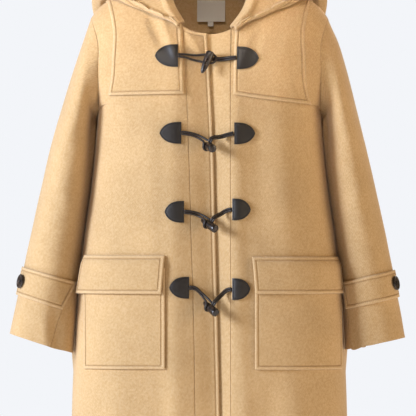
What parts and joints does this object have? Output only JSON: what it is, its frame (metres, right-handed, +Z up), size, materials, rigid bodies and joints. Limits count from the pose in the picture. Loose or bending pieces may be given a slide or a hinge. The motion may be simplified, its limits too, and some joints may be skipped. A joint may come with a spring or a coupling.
{
  "type": "hooded duffle coat",
  "caption": "Thigh-length hooded wool duffle coat, hollow as if worn, with horn toggles on leather tabs, front yokes, flap pockets and buttoned sleeve straps.",
  "frame": {"origin": "middle of the neck, level with the top of the shoulder seams", "axes": "+Z up along the coat's length, front faces -Y, +X to the wearer's left"},
  "size_m": [0.7135, 0.3649, 0.9102],
  "materials": {
    "wool": "felted camel melton wool with a faint diagonal twill",
    "leather": "smooth black leather with a stitched edge",
    "horn": "polished dark horn",
    "cord": "ribbed dark brown waxed cord",
    "button": "polished dark horn, rimmed",
    "label": "bare white woven ribbon"
  },
  "bodies": {
    "root": {"front_right": "wool", "front_left": "wool", "back": "wool", "front_band_right": "wool", "front_band_left": "wool", "sleeve_upper_right": "wool", "sleeve_upper_left": "wool", "sleeve_under_right": "wool", "sleeve_under_left": "wool", "sleeve_strap_right": "wool", "sleeve_strap_left": "wool", "yoke_right": "wool", "yoke_left": "wool", "pocket_right": "wool", "pocket_left": "wool", "pocket_flap_right": "wool", "pocket_flap_left": "wool", "hood_right": "wool", "hood_left": "wool", "sleeve_button_right": "button", "sleeve_button_left": "button", "neck_label": "label", "size_tab": "label", "tab_right_1": "leather", "tab_left_1": "leather", "toggle_1": "horn", "loop_1": "cord", "toggle_cord_1a": "cord", "toggle_cord_1b": "cord", "tab_right_2": "leather", "tab_left_2": "leather", "toggle_2": "horn", "loop_2": "cord", "toggle_cord_2a": "cord", "toggle_cord_2b": "cord", "tab_right_3": "leather", "tab_left_3": "leather", "toggle_3": "horn", "loop_3": "cord", "toggle_cord_3a": "cord", "toggle_cord_3b": "cord", "tab_right_4": "leather", "tab_left_4": "leather", "toggle_4": "horn", "loop_4": "cord", "toggle_cord_4a": "cord", "toggle_cord_4b": "cord"}
  },
  "joints": []
}
